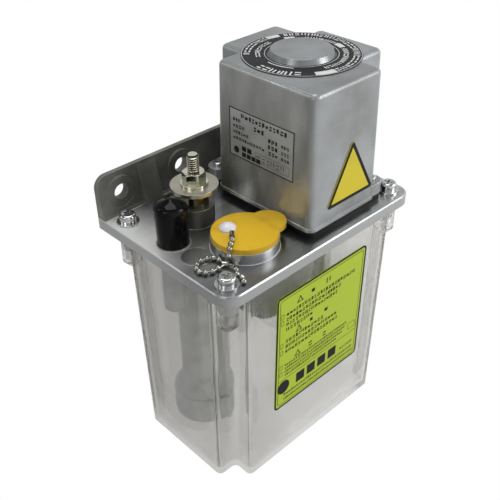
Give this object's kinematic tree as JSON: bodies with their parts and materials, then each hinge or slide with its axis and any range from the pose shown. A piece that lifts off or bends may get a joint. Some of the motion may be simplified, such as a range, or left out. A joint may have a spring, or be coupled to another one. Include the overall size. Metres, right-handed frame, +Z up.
{
  "type": "oil pump",
  "caption": "Wall-mounted lubrication oil pump: clear reservoir under a cast bracket, motor cover, filler cap on a bead chain, capped outlet and a spring piston lifted by a worm-driven cam",
  "frame": {"origin": "centre of the overall box at the underside of the reservoir, where the pump can stand", "axes": "+Z up, +Y towards the wall the bracket bolts to, +X along the wall with the motor cover on the +X half"},
  "size_m": [0.145, 0.1046, 0.2262],
  "materials": {
    "cast_plate": "cast and machined, satin",
    "seal": "matte",
    "clear_tank": "clear, moulded",
    "insert": "turned",
    "zinc": "bright zinc plate",
    "black_rubber": "matte",
    "cast_cover": "die-cast, mottled",
    "label_black": "printed film",
    "plate_silver": "printed metal plate",
    "label_yellow": "printed film",
    "label_lime": "printed film",
    "motor_grey": "drawn steel can",
    "steel": "turned",
    "housing_grey": "moulded",
    "wheel_grey": "moulded",
    "frame_cast": "cast",
    "collar": "turned",
    "dark_sleeve": "dark chromate",
    "warm_zinc": "yellowish zinc",
    "column_alu": "cast, satin",
    "brass": "turned",
    "gasket_tan": "fibre gasket",
    "vinyl_black": "glossy vinyl",
    "neck_alu": "turned",
    "white_plastic": "moulded",
    "cap_yellow": "scuffed",
    "chain": "nickel plated"
  },
  "bodies": {
    "pump_body": {"mounting_bracket": "cast_plate", "tank_seal": "seal", "reservoir_tank": "clear_tank", "tank_inserts": "insert", "tank_flat_washers": "zinc", "tank_spring_washers": "zinc", "tank_screws": "zinc", "cover_gasket": "black_rubber", "motor_cover": "cast_cover", "cover_screws": "zinc", "cord_grommet": "black_rubber", "ring_label": "label_black", "data_plate": "plate_silver", "triangle_plate": "label_yellow", "reservoir_label": "label_lime", "gear_motor": "motor_grey", "worm_housing": "housing_grey", "gear_frame": "frame_cast", "frame_screws": "zinc", "lever_pin": "steel", "guide_collar": "collar", "return_spring": "steel", "pump_column": "column_alu", "foot_valve": "brass", "suction_strainer": "column_alu", "outlet_fitting": "collar", "outlet_gasket": "gasket_tan", "relief_body": "column_alu", "relief_spring": "steel", "blank_plug": "cast_plate", "filler_neck": "neck_alu", "filler_strainer": "white_plastic", "bead_chain": "chain"},
    "wheel": {"worm_wheel": "wheel_grey", "wheel_shaft": "steel", "lift_cam": "steel"},
    "worm": {"worm_shaft": "steel"},
    "lever": {"lift_lever": "steel"},
    "rod": {"piston_rod": "steel", "piston": "steel", "lift_sleeve": "dark_sleeve", "stop_washer": "warm_zinc", "stud_washer": "warm_zinc", "stud_nut": "warm_zinc"},
    "cap": {"filler_cap": "cap_yellow", "cap_pin": "white_plastic", "cap_chain": "chain"},
    "vinyl": {"outlet_cap": "vinyl_black"},
    "foot_check": {"foot_ball": "steel"},
    "outlet_check": {"outlet_ball": "steel"},
    "relief_check": {"relief_ball": "steel"}
  },
  "joints": [
    {"name": "wheel_turn", "type": "hinge", "parent": "pump_body", "child": "wheel", "pos_m": [0.0022, -0.01225, 0.1041], "axis": [0, 1, 0], "continuous": true},
    {"name": "worm_turn", "type": "hinge", "parent": "pump_body", "child": "worm", "pos_m": [0.04, -0.01225, 0.1041], "axis": [0, 0, 1], "continuous": true},
    {"name": "rod_slide", "type": "slide", "parent": "pump_body", "child": "rod", "axis": [0, 0, 1], "range_m": [-0.009, 0], "deforming": ["return_spring"]},
    {"name": "lever_swing", "type": "hinge", "parent": "pump_body", "child": "lever", "pos_m": [0.0275, 0.01315, 0.1213], "axis": [0, 1, 0], "range_deg": [-8.5, 0]},
    {"name": "filler_cap_lift", "type": "slide", "parent": "pump_body", "child": "cap", "axis": [0, 0, 1], "range_m": [0, 0.03]},
    {"name": "outlet_cap_pull", "type": "slide", "parent": "pump_body", "child": "vinyl", "axis": [0, 0, 1], "range_m": [0, 0.03]},
    {"name": "foot_ball_lift", "type": "slide", "parent": "pump_body", "child": "foot_check", "axis": [0, 0, 1], "range_m": [0, 0.0015]},
    {"name": "outlet_ball_lift", "type": "slide", "parent": "pump_body", "child": "outlet_check", "axis": [0, 0, 1], "range_m": [0, 0.0015]},
    {"name": "relief_ball_drop", "type": "slide", "parent": "pump_body", "child": "relief_check", "axis": [0, 0, 1], "range_m": [-0.0015, 0], "stiffness_N_per_m": 300, "springref_m": 0.001, "deforming": ["relief_spring"]}
  ],
  "couplings": [
    {"joint": "wheel_turn", "follows": "worm_turn", "ratio": 0.016667},
    {"joint": "lever_swing", "follows": "rod_slide", "rad_per_m": 16.03}
  ]
}
